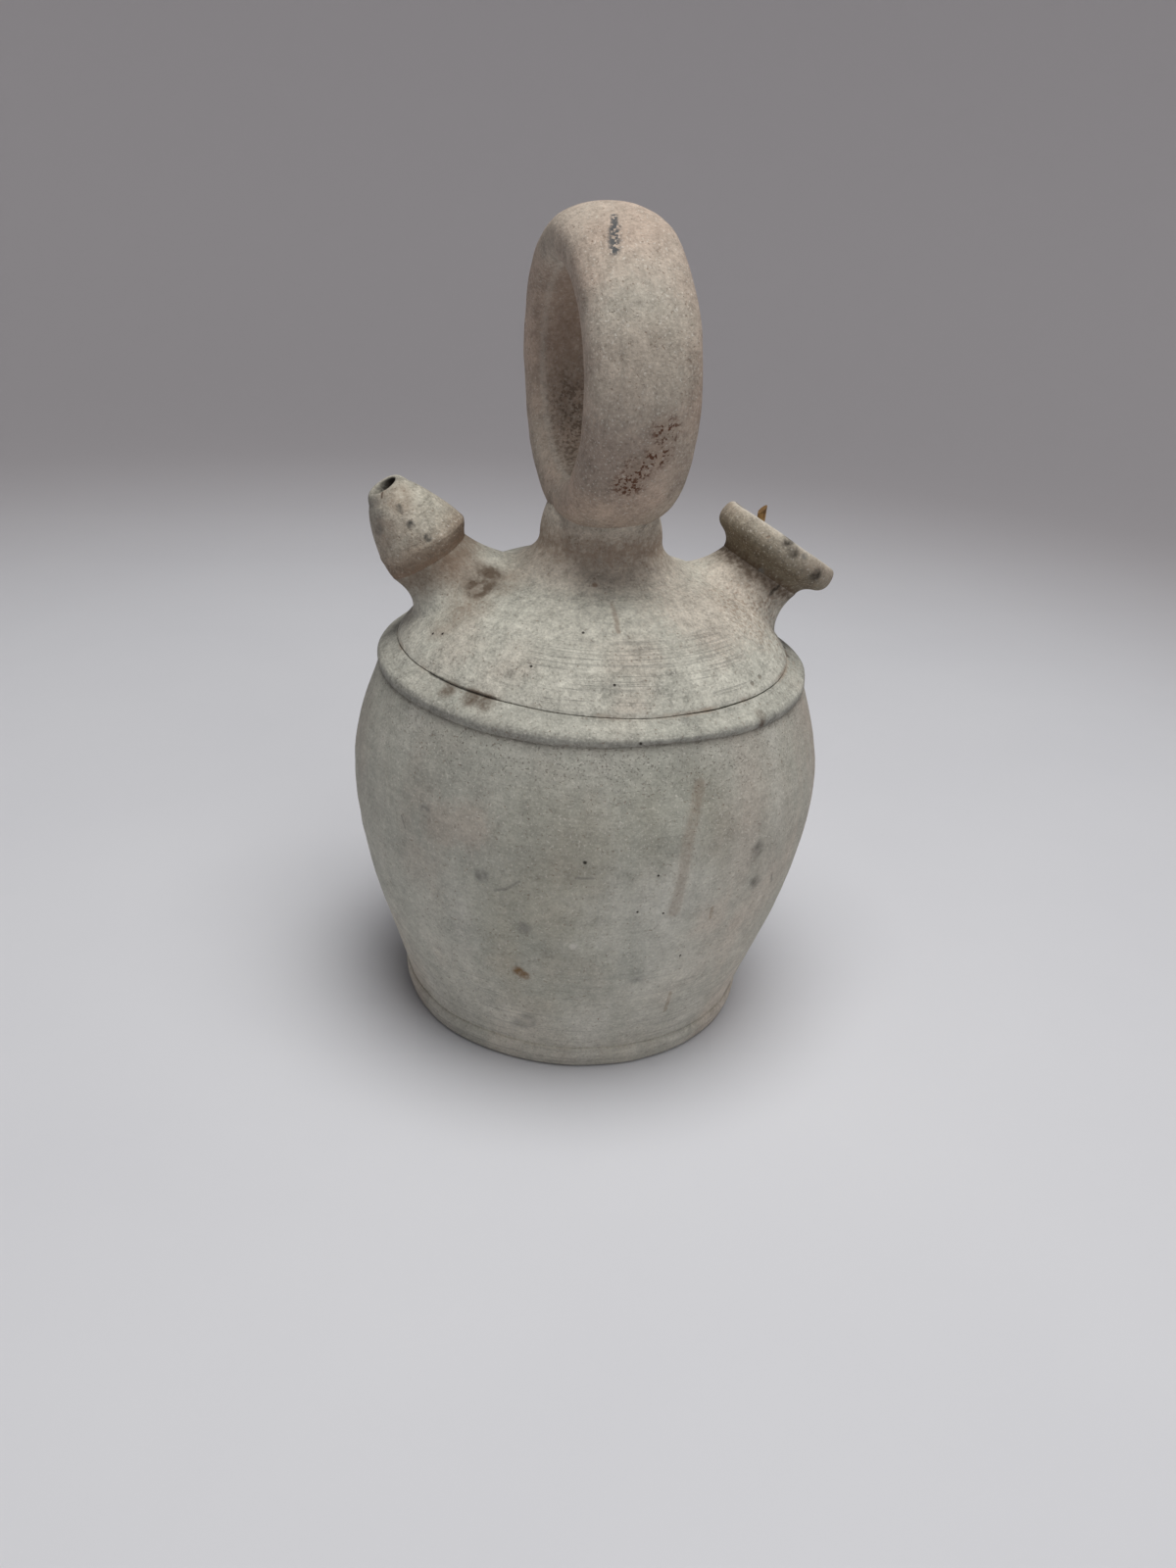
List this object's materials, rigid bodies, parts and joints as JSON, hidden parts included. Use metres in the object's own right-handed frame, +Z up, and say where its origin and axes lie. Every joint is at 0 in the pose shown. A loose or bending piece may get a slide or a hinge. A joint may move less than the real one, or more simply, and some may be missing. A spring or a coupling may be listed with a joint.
{
  "type": "spouted water jug",
  "caption": "Unglazed white-clay drinking jug: bulging belly on a foot, domed top with a ring handle, a conical drinking spout and a dished filling mouth closed by a pegged cork.",
  "frame": {"origin": "middle of the foot's underside, on the surface that the jug stands on", "axes": "+Z up through the jug's axis, +X towards the filling mouth, -X towards the drinking spout"},
  "size_m": [0.1675, 0.1642, 0.2765],
  "materials": {
    "belly_clay": "unglazed, matt, fine throwing lines",
    "dome_clay": "unglazed, matt, fine throwing lines",
    "ring_clay": "unglazed, matt, rubbed by the hand",
    "cork": "matt cork",
    "peg_wood": "whittled bare wood"
  },
  "bodies": {
    "jug": {"base_foot": "belly_clay", "belly_wall": "belly_clay", "shoulder_band": "dome_clay", "dome": "dome_clay", "handle_pedestal": "dome_clay", "ring_handle": "ring_clay", "spout_collar": "dome_clay", "spout_nozzle": "dome_clay", "filler_collar": "dome_clay", "filler_flange": "dome_clay"},
    "stopper": {"stopper_cork": "cork", "stopper_peg": "peg_wood"}
  },
  "joints": [
    {"name": "stopper_pull", "type": "slide", "parent": "jug", "child": "stopper", "axis": [0.5222, 0.0182, 0.8526], "range_m": [0, 0.04]}
  ]
}
